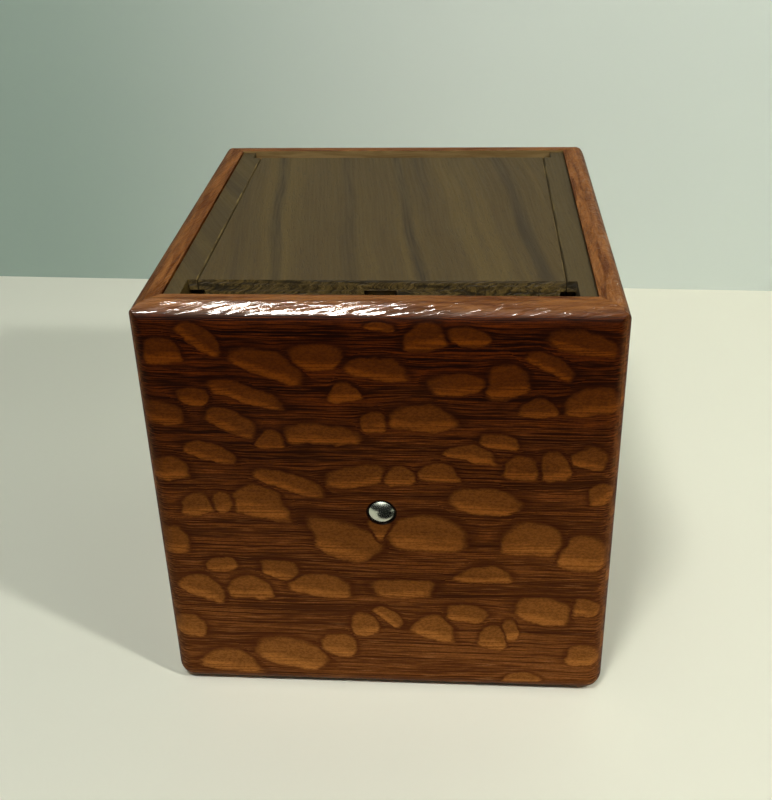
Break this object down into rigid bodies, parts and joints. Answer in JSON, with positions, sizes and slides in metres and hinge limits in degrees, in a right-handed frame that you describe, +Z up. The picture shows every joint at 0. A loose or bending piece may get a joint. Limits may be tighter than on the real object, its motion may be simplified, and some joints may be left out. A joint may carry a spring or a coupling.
{
  "type": "wooden puzzle box",
  "caption": "Small cubic wooden puzzle box: mitred figured case, inset dark lid on hidden rear pins, finger gap, and a round steel push button that works a magnetic latch.",
  "frame": {"origin": "centre of the underside of the case, on the surface it stands on", "axes": "+Z up, +Y from the front wall with the button towards the rear, +X to the right seen from the front"},
  "size_m": [0.076, 0.0783, 0.076],
  "materials": {
    "leopardwood": "oiled and buffed",
    "walnut": "oiled",
    "walnut_lid": "oiled",
    "felt": "matt wool felt",
    "steel": "bright drawn",
    "dark_steel": "oil-blacked",
    "polished_steel": "polished",
    "nickel": "nickel plated",
    "brass": "brushed"
  },
  "bodies": {
    "case": {"front_panel": "leopardwood", "rear_panel": "leopardwood", "left_panel": "leopardwood", "right_panel": "leopardwood", "base_panel": "leopardwood", "left_rail": "walnut", "right_rail": "walnut", "front_cross_rail": "walnut", "rear_stop_rail": "walnut", "divider": "walnut", "left_liner": "walnut", "right_liner": "walnut", "rear_liner": "walnut", "felt_pad": "felt", "hinge_pins": "steel", "button_spring": "steel", "guide_bush": "brass", "lever_bracket": "brass", "bracket_screws": "steel", "lever_pin": "steel"},
    "lid": {"lid": "walnut_lid", "lid_keeper": "dark_steel"},
    "button": {"button": "polished_steel", "button_clip": "steel"},
    "lever": {"lever": "brass", "latch_magnet": "nickel"}
  },
  "joints": [
    {"name": "lid_hinge", "type": "hinge", "parent": "case", "child": "lid", "pos_m": [0, 0.0279, 0.0724], "axis": [-1, 0, 0], "range_deg": [0, 105]},
    {"name": "button_press", "type": "slide", "parent": "case", "child": "button", "axis": [0, 1, 0], "range_m": [0, 0.0025], "stiffness_N_per_m": 120, "springref_m": -0.002, "deforming": ["button_spring"]},
    {"name": "lever_swing", "type": "hinge", "parent": "case", "child": "lever", "pos_m": [0, -0.027, 0.0544], "axis": [1, 0, 0], "range_deg": [0, 9.19]}
  ],
  "couplings": [
    {"joint": "lever_swing", "follows": "button_press", "rad_per_m": 64.103}
  ]
}
